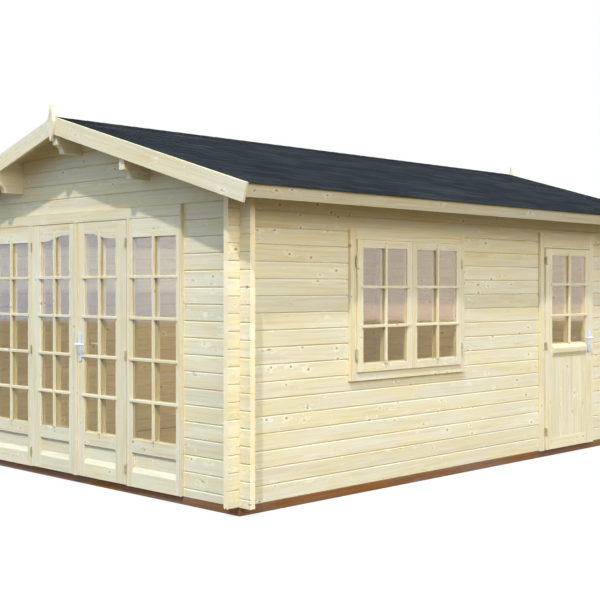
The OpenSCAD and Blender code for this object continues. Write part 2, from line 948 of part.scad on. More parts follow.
// Casing boards round an opening in the right wall, with their top a given height over the head
module casing(a, b, z0, gap, head) {
    top = side_top + gap + head;
    timber(a - casing_w, a, -casing_t, -fit_gap, z0, top);
    timber(b, b + casing_w, -casing_t, -fit_gap, z0, top);
    timber(a + fit_gap, b - fit_gap, -casing_t, -fit_gap, side_top + gap, side_top + gap + casing_head_h);
}

module window_frame() {
    a = window_x - window_w / 2 + casing_w;
    b = window_x + window_w / 2 - casing_w;
    color(wood_c)
        on_right() {
            casing(a, b, sash_z - sash_gap - casing_w, sash_gap, casing_head_h);
            timber(a + fit_gap, b - fit_gap, -casing_t, -fit_gap, sash_z - sash_gap - casing_w, sash_z - sash_gap);
            timber(window_a, a + sash_gap + jamb_cover, fit_gap, frame_back, window_sill_z + fit_gap,
                side_head_z - fit_gap);
            timber(b - sash_gap - jamb_cover, window_b, fit_gap, frame_back, window_sill_z + fit_gap,
                side_head_z - fit_gap);
            timber(a + sash_gap + jamb_cover + fit_gap, b - sash_gap - jamb_cover - fit_gap,
                fit_gap, frame_back, window_sill_z - housing_d + fit_gap, sash_z + jamb_cover);
            timber(a + sash_gap + jamb_cover + fit_gap, b - sash_gap - jamb_cover - fit_gap,
                fit_gap, frame_back, side_top - jamb_cover, side_head_z - fit_gap);
        }
}

module each_sash() {
    on_right()
        for (i = [0, 1])
            translate([sash_a + i * (sash_w + sash_gap), side_face, 0])
                children();
}

module window_sashes() {
    a = sash_stile_w + fit_gap;
    b = sash_w - sash_stile_w - fit_gap;
    color(wood_c)
        each_sash() {
            timber(0, sash_stile_w, 0, sash_t, sash_z, side_top);
            timber(sash_w - sash_stile_w, sash_w, 0, sash_t, sash_z, side_top);
            timber(a, b, 0, sash_t, sash_z, sash_z + sash_stile_w);
            timber(a, b, 0, sash_t, side_top - sash_stile_w, side_top);
        }
}

module window_glass() {
    color(glass_c)
        each_sash()
            timber(sash_stile_w + fit_gap, sash_w - sash_stile_w - fit_gap,
                glass_set, glass_set + glass_t,
                sash_z + sash_stile_w + fit_gap, side_top - sash_stile_w - fit_gap);
}

// Jambs, head and threshold behind the side leaf, and the casing round it
module side_door_frame() {
    stop = side_face + leaf_t + stop_gap;
    crown_z = side_top + leaf_gap + casing_head_h;
    color(wood_c)
        on_right() {
            casing(leaf_a - leaf_gap, leaf_b + leaf_gap, fit_gap, leaf_gap, casing_head_h + crown_h);
            timber(leaf_a - leaf_gap + fit_gap, leaf_b + leaf_gap - fit_gap, -casing_t, -fit_gap,
                crown_z + fit_gap, crown_z + crown_h);
            timber(door_a, leaf_a + jamb_cover, stop, frame_back, fit_gap, side_head_z - fit_gap);
            timber(leaf_b - jamb_cover, door_b, stop, frame_back, fit_gap, side_head_z - fit_gap);
            timber(leaf_a + jamb_cover + fit_gap, leaf_b - jamb_cover - fit_gap, stop, frame_back,
                side_top - jamb_cover, side_head_z - fit_gap);
            timber(leaf_a + jamb_cover + fit_gap, leaf_b - jamb_cover - fit_gap, stop, frame_back,
                fit_gap, threshold_h);
        }
}

module side_leaf() {
    a = side_stile_w + fit_gap;
    b = side_leaf_w - side_stile_w - fit_gap;
    bottom = leaf_z + side_bottom_h;
    color(wood_c)
        on_side_leaf() {
            timber(0, side_stile_w, 0, leaf_t, leaf_z, side_top);
            difference() {
                timber(side_leaf_w - side_stile_w, side_leaf_w, 0, leaf_t, leaf_z, side_top);
                spindle_hole(side_leaf_w - side_backset, side_lever_z);
            }
            timber(a, b, 0, leaf_t, leaf_z, bottom);
            timber(a, b, field_set, field_set + panel_t, bottom + fit_gap, drip_rail_z - fit_gap);
            along_x(a, b, [
                [0, drip_rail_z], [leaf_t, drip_rail_z], [leaf_t, side_glass_z], [glass_set, side_glass_z],
                [-drip_nose, side_glass_z - weather_h], [-drip_nose, side_glass_z - weather_h - drip_nose_h],
                [0, drip_rail_z + drip_strip_h]
            ]);
            timber(a, b, 0, leaf_t, side_top - side_top_h, side_top);
        }
}

module side_glass() {
    color(glass_c)
        on_side_leaf()
            timber(side_stile_w + 2 * fit_gap, side_leaf_w - side_stile_w - 2 * fit_gap,
                glass_set, glass_set + glass_t,
                side_glass_z + fit_gap, side_top - side_top_h - fit_gap);
}

foundation_beams();
floor_joists();
floor_boards();
front_wall_left();
front_wall_right();
front_gable();
rear_wall();
rear_gable();
left_wall();
right_wall_lower();
right_wall_front();
right_wall_middle();
right_wall_rear();
right_wall_top();
ridge_purlin();
slope_purlins();
left_roof_boards();
right_roof_boards();
left_shingles();
right_shingles();
front_barge_boards();
rear_barge_boards();
finials();
eave_boards();
front_door_frame();
sidelights();
sidelight_glass();
front_left_leaf();
front_right_leaf();
front_left_glass();
front_right_glass();
hinge_pins();
front_left_hinges();
front_right_hinges();
front_back_plates();
front_lever();
window_frame();
window_sashes();
window_glass();
side_door_frame();
side_leaf();
side_glass();
side_hinges();
side_back_plates();
side_lever();
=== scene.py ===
"""Looks of the garden house: timber, shingles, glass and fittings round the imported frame, in metres."""

import math
import random

import bmesh
import bpy
from mathutils import Matrix, Vector


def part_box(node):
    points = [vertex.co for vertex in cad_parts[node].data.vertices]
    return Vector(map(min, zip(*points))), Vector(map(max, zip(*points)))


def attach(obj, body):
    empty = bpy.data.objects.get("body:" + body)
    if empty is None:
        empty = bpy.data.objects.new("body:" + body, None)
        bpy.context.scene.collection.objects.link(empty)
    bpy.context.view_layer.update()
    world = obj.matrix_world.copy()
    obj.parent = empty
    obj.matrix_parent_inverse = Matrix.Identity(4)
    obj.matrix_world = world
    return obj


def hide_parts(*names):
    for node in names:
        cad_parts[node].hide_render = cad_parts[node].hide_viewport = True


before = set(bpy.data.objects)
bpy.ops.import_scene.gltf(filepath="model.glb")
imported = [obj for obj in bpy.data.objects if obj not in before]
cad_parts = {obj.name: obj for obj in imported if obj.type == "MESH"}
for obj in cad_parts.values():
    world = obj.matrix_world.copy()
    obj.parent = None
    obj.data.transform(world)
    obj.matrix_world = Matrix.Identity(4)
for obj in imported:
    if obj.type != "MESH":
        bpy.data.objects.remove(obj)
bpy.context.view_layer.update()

# One seed for every random draw, so that each run gives the same house
CHANCE_SEED = 20
rng = random.Random(CHANCE_SEED)

X, Y, Z = Vector((1, 0, 0)), Vector((0, 1, 0)), Vector((0, 0, 1))

# Sizes of the house that the added pieces follow
LOG_H = 0.114
ROOF_PITCH = math.radians(16.5)


def span(node, axis):
    """The lowest and the highest place of a node along an axis."""
    low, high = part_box(node)
    return low[axis], high[axis]


# Places that the frame gives: the foot and the middles of the walls, and the faces of leaves and sashes
BASE_H = span("rear_wall", 2)[0]
END_WALL_MIDDLE = sum(span("rear_wall", 1)) / 2
SIDE_WALL_MIDDLE = sum(span("right_wall_top", 0)) / 2
FRONT_FACE, FRONT_BACK = span("front_left_leaf", 1)
SIDELIGHT_FACE, SIDELIGHT_BACK = span("sidelights", 1)
SASH_BACK, SIDE_FACE = span("window_sashes", 0)
SIDE_LEAF_BACK = span("side_leaf", 0)[0]

# Camera of the photograph
CAMERA_AT = (7.152, -7.633, 1.482)
CAMERA_HEADING = math.radians(44.59)
CAMERA_LENS = 67.02
CAMERA_SENSOR = 36.0
CAMERA_SHIFT_Y = -0.0205
CAMERA_REACH = 200.0


class Surface:
    """A material's nodes, with one short call for each kind of node."""

    def __init__(self, name):
        self.material = bpy.data.materials.new(name)
        self.material.use_nodes = True
        self.tree = self.material.node_tree
        self.tree.nodes.clear()

    def feed(self, socket, value):
        """Links another socket to a socket, or sets its value."""
        if isinstance(value, bpy.types.NodeSocket):
            self.tree.links.new(value, socket)
        else:
            socket.default_value = value

    def node(self, kind, settings=None, **inputs):
        """A new node; the names of its inputs have _ for a space."""
        made = self.tree.nodes.new(kind)
        for key, value in (settings or {}).items():
            setattr(made, key, value)
        for key, value in inputs.items():
            self.feed(made.inputs[key.replace("_", " ")], value)
        return made

    def calculate(self, kind, operation, values):
        """A node for sums or vectors, with its values in order."""
        made = self.node(kind, {"operation": operation})
        for socket, value in zip(made.inputs, values):
            self.feed(socket, value)
        return made

    def math(self, operation, *values):
        return self.calculate("ShaderNodeMath", operation, values).outputs[0]

    def vector(self, operation, *values):
        made = self.calculate("ShaderNodeVectorMath", operation, values)
        return made.outputs["Value" if operation == "LENGTH" else "Vector"]

    def blend(self, factor, low, high):
        """A mix of two colours, which are sockets 6 and 7 of the node and come out of socket 2."""
        made = self.node("ShaderNodeMix", {"data_type": "RGBA"})
        for index, value in ((0, factor), (6, low), (7, high)):
            self.feed(made.inputs[index], value)
        return made.outputs[2]

    def step(self, value, low, high, start=0.0, end=1.0):
        """A soft step from start to end while the value goes from low to high."""
        made = self.node("ShaderNodeMapRange", {"interpolation_type": "SMOOTHSTEP"}, Value=value,
                         From_Min=low, From_Max=high, To_Min=start, To_Max=end)
        return made.outputs["Result"]

    def noise(self, place, scale, detail=2.0, roughness=0.5):
        scaled = self.vector("MULTIPLY", place, scale)
        made = self.node("ShaderNodeTexNoise", Vector=scaled, Scale=1.0, Detail=detail, Roughness=roughness)
        return made.outputs["Fac"]

    def attribute(self, name, output):
        return self.node("ShaderNodeAttribute", {"attribute_name": name}).outputs[output]

    def coordinates(self, output):
        return self.node("ShaderNodeTexCoord").outputs[output]

    def axes(self, vector):
        return self.node("ShaderNodeSeparateXYZ", Vector=vector).outputs

    def channels(self, colour):
        return self.node("ShaderNodeSeparateColor", Color=colour).outputs

    def bump(self, height, distance, strength):
        made = self.node("ShaderNodeBump", Height=height, Distance=distance, Strength=strength)
        return made.outputs["Normal"]

    def mix_shaders(self, factor, low, high):
        mixed = self.node("ShaderNodeMixShader", Fac=factor)
        self.feed(mixed.inputs[1], low.outputs[0])
        self.feed(mixed.inputs[2], high.outputs[0])
        return mixed

    def finish(self, shader):
        self.node("ShaderNodeOutputMaterial", Surface=shader.outputs[0])
        return self.material


# Detail and roughness of the noises that look rugged
RUGGED = (3.0, 0.6)

# Wood colours, linear
SPRUCE = {"pale": (0.82, 0.755, 0.545, 1), "streak": (0.69, 0.58, 0.37, 1), "late": (0.62, 0.50, 0.30, 1),
          "swirl": (0.90, 0.85, 0.66, 1), "knot": (0.47, 0.34, 0.18, 1), "rim": (0.31, 0.205, 0.10, 1)}
TREATED = {"pale": (0.27, 0.118, 0.040, 1), "streak": (0.15, 0.060, 0.022, 1),
           "late": (0.12, 0.047, 0.018, 1), "swirl": (0.30, 0.14, 0.05, 1),
           "knot": (0.07, 0.03, 0.014, 1), "rim": (0.03, 0.014, 0.008, 1)}
END_GRAIN = (0.97, 0.83, 0.53, 1)
# Eave boards: every spruce colour darkened by one factor, painted shade that makes the eave boards look
# shaded
EAVE_SHADE_FACTOR = 0.80
EAVE_SHADED_SPRUCE = {part: (r * EAVE_SHADE_FACTOR, g * EAVE_SHADE_FACTOR, b * EAVE_SHADE_FACTOR, 1)
               for part, (r, g, b, _) in SPRUCE.items()}

# Knots: their spacing along, through and across the grain, their sizes, and the pale swirls round them
KNOT_CELL = (0.17, 0.085, 0.075)
KNOT_STRETCH = (0.72, 0.3, 1.0)
KNOT_R = 0.0104
KNOT_LEAST_R = 0.0005
SWIRL_STRETCH = (0.25, 0.3, 0.75)
RAGGED_SCALE = (20.0, 60.0, 60.0)
CURL_TURNS = 3.2
CURL_WANDER = 14.0

# Growth rings round a pith that lies near the board's middle, streaks, fibres and patches
PITH_SPREAD = (60.0, 0.12, 0.12)
PITH_FROM = (0.0, -0.06, -0.06)
RING_W = 0.0034
RING_WANDER = 0.022
RING_SWELL = 0.009
WANDER_SCALE = (0.9, 9.0, 9.0)
STREAK_SCALE = (1.6, 46.0, 46.0)
FIBRE_SCALE = (16.0, 900.0, 900.0)
PATCH_SCALE = (1.4, 8.0, 8.0)
PATCH_SHIFT = (7.0, 3.0, 5.0)

# Soft steps of the wood: where each starts and ends, and its values there
KNOT_CHOICE = (0.22, 0.95, 0.0, KNOT_R)
KNOT_SIZES = (0.1, 0.6, 0.5, 1.0)
KNOT_EDGE = (0.5, 1.05, 1.0, 0.0)
RIM_INSIDE = (0.35, 0.7, 0.0, 1.0)
RIM_OUTSIDE = (0.75, 1.0, 0.5, 0.0)
RAGGED = (0.3, 0.7, 0.5, 1.9)
HALO_EDGE = (0.7, 3.4, 1.0, 0.0)
HALO_SHARE = (0.0, 1.0, 0.3, 0.7)
LIVELY_CHOICE = (0.45, 0.55)
CURL_LINE = (0.2, 0.95)
LATE_RISE = (0.35, 0.9)
LATE_FALL = (0.93, 1.0, 1.0, 0.0)
STREAK_EDGE = (0.40, 0.74)
PATCH_SATURATION = (0.32, 0.7, 0.76, 1.16)

# How strongly each mark shows, in colour and in height
STREAK_SHARE = 0.62
LATE_SHARE = 0.36
CURL_SHARE = 0.5
KNOT_SHARE = 0.9
TONE_LEAST = 0.94
TONE_SPREAD = 0.10
TONE_FIBRE = 0.06
LATE_HEIGHT = 0.5
FIBRE_HEIGHT = 0.4
KNOT_HEIGHT = 0.8
WOOD_BUMP = (0.0006, 0.5)
WOOD_SPECULAR = 0.25
WOOD_ROUGH_SPREAD = 0.08
BOARD_FIGURE = 1.35


def wood_knots(s, place):
    """Scattered knots: core, dark rim, ragged distance from the knot, pale halo, and whether it curls."""
    cells = s.vector("DIVIDE", place, KNOT_CELL)
    scatter = {"voronoi_dimensions": "3D", "feature": "F1"}
    voronoi = s.node("ShaderNodeTexVoronoi", scatter, Vector=cells, Scale=1.0)
    offset = s.vector("MULTIPLY", s.vector("SUBTRACT", cells, voronoi.outputs["Position"]), KNOT_CELL)
    pick = s.channels(voronoi.outputs["Color"])
    radius = s.math("MULTIPLY", s.step(pick[0], *KNOT_CHOICE), s.step(pick[1], *KNOT_SIZES))
    radius = s.math("MAXIMUM", radius, KNOT_LEAST_R)
    share = s.math("DIVIDE", s.vector("LENGTH", s.vector("MULTIPLY", offset, KNOT_STRETCH)), radius)
    core = s.step(share, *KNOT_EDGE)
    rim = s.math("MULTIPLY", s.step(share, *RIM_INSIDE), s.step(share, *RIM_OUTSIDE))
    around = s.math("DIVIDE", s.vector("LENGTH", s.vector("MULTIPLY", offset, SWIRL_STRETCH)), radius)
    swirl = s.math("MULTIPLY", s.step(s.noise(place, RAGGED_SCALE), *RAGGED), around)
    return core, rim, swirl, s.step(swirl, *HALO_EDGE), s.step(pick[2], *LIVELY_CHOICE)


def late_wood(s, place, wander, halo):
    """Thin darker lines of the growth rings, which wander along the board and swell round knots."""
    cross = s.vector("LENGTH", s.vector("MULTIPLY", place, (0.0, 1.0, 1.0)))
    bent = s.math("MULTIPLY_ADD", wander, RING_WANDER, s.math("MULTIPLY_ADD", halo, RING_SWELL, cross))
    ring = s.math("FRACT", s.math("DIVIDE", bent, RING_W))
    return s.math("MULTIPLY", s.step(ring, *LATE_RISE), s.step(ring, *LATE_FALL))


def wood_shader(s, grain, seed, colours, rough, figure=1.0, end=None):
    """Planed wood with rings, streaks and knots, by place along, through and across the grain."""
    chance = s.node("ShaderNodeTexWhiteNoise", {"noise_dimensions": "1D"}, W=seed)
    pith = s.vector("MULTIPLY_ADD", chance.outputs["Color"], PITH_SPREAD, PITH_FROM)
    place = s.vector("ADD", grain, pith)
    core, rim, swirl, halo, lively = wood_knots(s, place)
    wander = s.noise(place, WANDER_SCALE)
    late = late_wood(s, place, wander, halo)
    turns = s.math("MULTIPLY", swirl, CURL_TURNS)
    arcs = s.math("SINE", s.math("MULTIPLY_ADD", wander, CURL_WANDER, turns))
    curl = s.math("MULTIPLY", s.step(arcs, *CURL_LINE), s.math("MULTIPLY", halo, lively))
    streak = s.step(s.noise(place, STREAK_SCALE, *RUGGED), *STREAK_EDGE)
    fibre = s.noise(place, FIBRE_SCALE)

    colour = s.blend(s.math("MULTIPLY", streak, STREAK_SHARE * figure), colours["pale"], colours["streak"])
    colour = s.blend(s.math("MULTIPLY", late, LATE_SHARE * figure), colour, colours["late"])
    colour = s.blend(s.math("MULTIPLY", halo, s.step(lively, *HALO_SHARE)), colour, colours["swirl"])
    colour = s.blend(s.math("MULTIPLY", curl, CURL_SHARE), colour, colours["knot"])
    if end is not None:
        colour = s.blend(end, colour, END_GRAIN)
    colour = s.blend(s.math("MULTIPLY", core, KNOT_SHARE), colour, colours["knot"])
    colour = s.blend(rim, colour, colours["rim"])
    tone = s.math("MULTIPLY_ADD", chance.outputs["Value"], TONE_SPREAD, TONE_LEAST)
    tone = s.math("MULTIPLY_ADD", fibre, TONE_FIBRE, tone)
    patch = s.noise(s.vector("ADD", place, PATCH_SHIFT), PATCH_SCALE)
    tint = s.node("ShaderNodeHueSaturation", Value=tone, Color=colour,
                  Saturation=s.step(patch, *PATCH_SATURATION))

    height = s.math("MULTIPLY_ADD", fibre, FIBRE_HEIGHT, s.math("MULTIPLY", core, KNOT_HEIGHT))
    height = s.math("MULTIPLY_ADD", late, LATE_HEIGHT, height)
    roughness = s.step(fibre, 0.0, 1.0, rough - WOOD_ROUGH_SPREAD, rough + WOOD_ROUGH_SPREAD)
    return s.node("ShaderNodeBsdfPrincipled", Base_Color=tint.outputs[0], Specular_IOR_Level=WOOD_SPECULAR,
                  Roughness=roughness, Normal=s.bump(height, *WOOD_BUMP))


def board_wood(name, colours, rough):
    """Wood for boards that carry their own grain coordinates and seed."""
    s = Surface(name)
    grain, seed = s.attribute("grain", "Vector"), s.attribute("seed", "Fac")
    return s.finish(wood_shader(s, grain, seed, colours, rough, BOARD_FIGURE))


# Logs: the step in seed between facing walls, and how far a face turns along the grain to show its end
LOG_ROUGH = 0.62
ACROSS_SEED = 40.0
END_FACING = (0.7, 0.9, 0.0, 0.85)


def log_wood(name, along, middle, phase, wall_seed):
    """Wood for two facing walls of logs along axis 0 or 1: each course has its own seed and grain."""
    s = Surface(name)
    axes = s.axes(s.coordinates("Object"))
    course = s.math("MULTIPLY_ADD", axes[2], 1 / LOG_H, phase - BASE_H / LOG_H)
    rise = s.math("MULTIPLY_ADD", s.math("FRACT", course), LOG_H, -LOG_H / 2)
    through = axes[1 - along]
    depth = s.math("SUBTRACT", s.math("ABSOLUTE", through), middle)
    grain = s.node("ShaderNodeCombineXYZ", X=axes[along], Y=depth, Z=rise).outputs[0]
    side = s.math("MULTIPLY_ADD", s.math("SIGN", through), ACROSS_SEED, wall_seed)
    seed = s.math("ADD", s.math("FLOOR", course), side)
    facing = s.axes(s.coordinates("Normal"))[along]
    end = s.step(s.math("ABSOLUTE", facing), *END_FACING)
    return s.finish(wood_shader(s, grain, seed, SPRUCE, LOG_ROUGH, end=end))


# Shingle granules, linear colours
GRIT_SCALE = 620.0
SHINGLE_DARK = (0.0055, 0.0085, 0.012, 1)
SHINGLE_PALE = (0.025, 0.0315, 0.039, 1)
SHINGLE_SPECK = (0.046, 0.056, 0.068, 1)
SPECK_SHARE = (0.72, 0.98, 0.0, 0.35)
SPECK_ROUGH = (0.0, 1.0, 0.95, 0.78)
WEATHER_SCALE = (2.6, 1.5, 2.6)
WEATHER_EDGE = (0.2, 0.8)
TAB_TONE_SHARE = 0.5
GRIT_SPECULAR = 0.02
GRIT_BUMP = (0.0012, 0.8)


def shingle_stone():
    """Bitumen shingle: mineral granules, a tone for each tab and soft weather patches."""
    s = Surface("shingle_granules")
    place = s.coordinates("Object")
    grit = s.node("ShaderNodeTexVoronoi", {"feature": "F1"}, Vector=place, Scale=GRIT_SCALE)
    speck = s.channels(grit.outputs["Color"])[0]
    patch = s.step(s.noise(place, WEATHER_SCALE, *RUGGED), *WEATHER_EDGE)
    weather = s.math("MULTIPLY", patch, 1 - TAB_TONE_SHARE)
    tone = s.math("MULTIPLY_ADD", s.attribute("tone", "Fac"), TAB_TONE_SHARE, weather)
    colour = s.blend(tone, SHINGLE_DARK, SHINGLE_PALE)
    colour = s.blend(s.step(speck, *SPECK_SHARE), colour, SHINGLE_SPECK)
    return s.finish(s.node("ShaderNodeBsdfPrincipled", Base_Color=colour, Specular_IOR_Level=GRIT_SPECULAR,
                           Roughness=s.step(speck, *SPECK_ROUGH),
                           Normal=s.bump(grit.outputs["Distance"], *GRIT_BUMP)))


# Glass: the share that a face mirrors grows from a square view to a glancing one
GLASS_TINT = (0.975, 0.95, 0.88, 1)
GLASS_MIRROR = (0.98, 0.98, 0.98, 1)
GLASS_ROUGH = 0.05
GLASS_GLANCE = (0.55, 1.0, 0.045, 0.9)
GLASS_WAVE = (2.2, 2.2, 2.2)
GLASS_BUMP = (0.004, 0.06)


def pane_glass():
    """Clear pane of slightly uneven glass, which mirrors more at a glancing angle."""
    s = Surface("pane_glass")
    wave = s.bump(s.noise(s.coordinates("Object"), GLASS_WAVE, 1.0), *GLASS_BUMP)
    clear = s.node("ShaderNodeBsdfTransparent", Color=GLASS_TINT)
    mirror = s.node("ShaderNodeBsdfGlossy", Color=GLASS_MIRROR, Roughness=GLASS_ROUGH, Normal=wave)
    facing = s.node("ShaderNodeLayerWeight", Blend=0.5).outputs["Facing"]
    return s.finish(s.mix_shaders(s.step(facing, *GLASS_GLANCE), clear, mirror))


# Metal: rubbing marks and patches of stain
RUB_SCALE = (900.0, 900.0, 60.0)
RUB_EDGE = (0.2, 0.8)
RUB_SMOOTHER = 0.08
RUB_ROUGHER = 0.1
RUB_BUMP = (0.0002, 0.2)
STAIN_SCALE = (38.0, 38.0, 38.0)
STAIN_EDGE = (0.45, 0.75)


def satin_metal(name, colour, stain, stain_share, metallic, rough):
    """Coated metal with fine rubbing marks and a stain that gathers in soft patches."""
    s = Surface(name)
    place = s.coordinates("Object")
    rub = s.noise(place, RUB_SCALE)
    patch = s.step(s.noise(place, STAIN_SCALE, 3.0), *STAIN_EDGE, 0.0, stain_share)
    return s.finish(s.node("ShaderNodeBsdfPrincipled", Base_Color=s.blend(patch, colour, stain),
                           Metallic=metallic,
                           Roughness=s.step(rub, *RUB_EDGE, rough - RUB_SMOOTHER, rough + RUB_ROUGHER),
                           Normal=s.bump(rub, *RUB_BUMP)))


# Keyholes and screw slots: painted shade, near black, with a little dust
DUST_SCALE = (300.0, 300.0, 300.0)
HOLE_SHADE = (0.008, 0.008, 0.009, 1)
HOLE_DUST_IN_SHADE = (0.03, 0.028, 0.026, 1)
HOLE_ROUGH = 0.8


def painted_hole_shade():
    """Painted shade for the insides of keyholes and screw slots: nearly black, with a little dust."""
    s = Surface("keyhole_painted_shade")
    colour = s.blend(s.noise(s.coordinates("Object"), DUST_SCALE), HOLE_SHADE, HOLE_DUST_IN_SHADE)
    return s.finish(s.node("ShaderNodeBsdfPrincipled", Base_Color=colour, Roughness=HOLE_ROUGH))


spruce = board_wood("spruce_boards", SPRUCE, rough=0.6)
# The darkened spruce of the eave boards is painted shade
shaded_eave_spruce = board_wood("spruce_eave_painted_shade", EAVE_SHADED_SPRUCE, rough=0.62)
treated = board_wood("treated_boards", TREATED, rough=0.7)
end_logs = log_wood("spruce_end_logs", along=0, middle=END_WALL_MIDDLE, phase=0.5, wall_seed=0.0)
side_logs = log_wood("spruce_side_logs", along=1, middle=SIDE_WALL_MIDDLE, phase=0.0, wall_seed=300.0)
granules = shingle_stone()
glass = pane_glass()
aluminium = satin_metal("satin_aluminium", colour=(0.56, 0.63, 0.74, 1), stain=(0.44, 0.50, 0.60, 1),
                        stain_share=0.4, metallic=0.3, rough=0.34)
lever_metal = satin_metal("lever_aluminium", colour=(0.82, 0.86, 0.92, 1), stain=(0.70, 0.74, 0.80, 1),
                          stain_share=0.3, metallic=0.15, rough=0.30)
pale_brass = satin_metal("pale_brass", colour=(0.50, 0.46, 0.28, 1), stain=(0.30, 0.27, 0.16, 1),
                         stain_share=0.8, metallic=0.55, rough=0.42)
nail_steel = satin_metal("nail_steel", colour=(0.16, 0.13, 0.09, 1), stain=(0.10, 0.08, 0.06, 1),
                         stain_share=0.8, metallic=0.6, rough=0.45)
keyhole_painted_shade = painted_hole_shade()


def paint(node, material):
    """Gives a CAD node its material."""
    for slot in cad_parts[node].material_slots:
        slot.material = material


def mesh_object(name, bm, material):
    """Turns a bmesh into an object of the scene with one material."""
    mesh = bpy.data.meshes.new(name)
    bm.to_mesh(mesh)
    bm.free()
    mesh.materials.append(material)
    made = bpy.data.objects.new(name, mesh)
    bpy.context.scene.collection.objects.link(made)
    return made


def add_piece(name, bm, material, body, replaced=()):
    """Turns a bmesh into a piece of the house that rides on a body."""
    bmesh.ops.recalc_face_normals(bm, faces=bm.faces)
    piece = mesh_object(name, bm, material)
    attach(piece, body)
    if replaced:
        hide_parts(*replaced)


def new_bmesh():
    """An empty bmesh with the layers that the wood and shingle materials read."""
    bm = bmesh.new()
    bm.verts.layers.float_vector.new("grain")
    bm.verts.layers.float.new("seed")
    bm.verts.layers.float.new("tone")
    return bm


# Above this share of the upright a board's grain counts as upright
UPRIGHT = 0.7
SEED_SPREAD = 900


def set_grain(bm, verts, along):
    """Writes a board's coordinates along, through and across the grain, and its own seed."""
    grain = bm.verts.layers.float_vector["grain"]
    seed = bm.verts.layers.float["seed"]
    helper = Z if abs(along.z) < UPRIGHT else X
    side = along.cross(helper).normalized()
    ways = [side, along.cross(side).normalized()]
    middle = sum((v.co for v in verts), Vector()) / len(verts)
    local = [v.co - middle for v in verts]
    ways.sort(key=lambda way: max(p.dot(way) for p in local) - min(p.dot(way) for p in local))
    own = rng.uniform(0, SEED_SPREAD)
    for vert, p in zip(verts, local):
        vert[grain] = (p.dot(along), p.dot(ways[0]), p.dot(ways[1]))
        vert[seed] = own


PLACE_DIGITS = 3
LENGTH_DIGITS = 5


def islands(bm):
    """Groups of corners that belong together, in a fixed order."""
    bm.verts.index_update()
    found, seen = [], set()
    for start in bm.verts:
        if start.index in seen:
            continue
        group, queue = [], [start]
        seen.add(start.index)
        while queue:
            vert = queue.pop()
            group.append(vert)
            for edge in vert.link_edges:
                other = edge.other_vert(vert)
                if other.index not in seen:
                    seen.add(other.index)
                    queue.append(other)
        found.append(group)
    middle = [sum((v.co for v in group), Vector()) / len(group) for group in found]
    order = sorted(range(len(found)), key=lambda i: tuple(round(c, PLACE_DIGITS) for c in middle[i]))
    return [found[i] for i in order]


WELD = 0.00002
COPLANAR = math.radians(0.6)
SHARP = math.radians(30)
ARRIS_SEGMENTS = 2
ARRIS_PROFILE = 0.5


def dress(node, body, material, arris):
    """A node's timbers with eased arrises, each with its own grain along its longest edge."""
    bm = new_bmesh()
    bm.from_mesh(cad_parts[node].data)
    bmesh.ops.remove_doubles(bm, verts=bm.verts, dist=WELD)
    bmesh.ops.dissolve_limit(bm, angle_limit=COPLANAR, verts=bm.verts, edges=bm.edges)
    for group in islands(bm):
        bm.edges.index_update()
        edges = {e for v in group for e in v.link_edges if len(e.link_faces) == 2}
        sharp = sorted((e for e in edges if e.calc_face_angle(0) > SHARP), key=lambda e: e.index)
        bmesh.ops.bevel(bm, geom=sharp, offset=arris, segments=ARRIS_SEGMENTS, profile=ARRIS_PROFILE,
                        affect="EDGES", clamp_overlap=True)
    for group in islands(bm):
        bm.edges.index_update()
        edges = {e for v in group for e in v.link_edges}
        longest = max(edges, key=lambda e: (round(e.calc_length(), LENGTH_DIGITS), -e.index))
        set_grain(bm, group, (longest.verts[1].co - longest.verts[0].co).normalized())
    add_piece(node + "_timber", bm, material, body, (node,))


def prism(bm, section, start, along, across, up, length):
    """A solid of one section, drawn out along a way; returns its corners."""
    rings = []
    for end in (0.0, length):
        rings.append([bm.verts.new(start + along * end + across * a + up * b) for a, b in section])
    count = len(section)
    for i in range(count):
        j = (i + 1) % count
        bm.faces.new((rings[0][i], rings[0][j], rings[1][j], rings[1][i]))
    bm.faces.new(rings[0][::-1])
    bm.faces.new(rings[1])
    return rings[0] + rings[1]


def plain(width, depth):
    """Square-edged section from its corner."""
    return [(0, 0), (width, 0), (width, depth), (0, depth)]


def eased(width, depth, ease):
    """Section of a board from its corner, with all four arrises eased."""
    return [(ease, 0), (width - ease, 0), (width, ease), (width, depth - ease),
            (width - ease, depth), (ease, depth), (0, depth - ease), (0, ease)]


def v_jointed(width, depth, ease):
    """Section of a board from its corner, with the two outer arrises eased."""
    return [(0, 0), (width, 0), (width, depth - ease), (width - ease, depth),
            (ease, depth), (0, depth - ease)]


def add_board(bm, section, corner, along, across, up, length):
    """A straight board with grain of its own."""
    set_grain(bm, prism(bm, section, corner, along, across, up, length), along)


def add_disc(bm, centre, axis, radius, height, segments=16):
    """A short round bar about an axis through its centre."""
    turn = Z.rotation_difference(axis).to_matrix().to_4x4()
    bmesh.ops.create_cone(bm, cap_ends=True, segments=segments, radius1=radius, radius2=radius, depth=height,
                          matrix=Matrix.Translation(centre) @ turn)


# Roof boards, from the ridge to the eaves, with V joints below
ROOF_BOARD_W = 0.09
ROOF_BOARD_EASE = 0.004


def slope_ways(side):
    """Ways down a roof slope and out of it, for the right side (1) or the left side (-1)."""
    down = Vector((side * math.cos(ROOF_PITCH), 0, -math.sin(ROOF_PITCH)))
    out = Vector((side * math.sin(ROOF_PITCH), 0, math.cos(ROOF_PITCH)))
    return down, out


def layer_sizes(name):
    """A roof layer's box, its thickness and its length down the slope."""
    low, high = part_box(name)
    run = high.x - low.x
    thick = (high.z - low.z - run * math.tan(ROOF_PITCH)) / math.cos(ROOF_PITCH)
    length = (run - thick * math.sin(ROOF_PITCH)) / math.cos(ROOF_PITCH)
    return low, high, thick, length


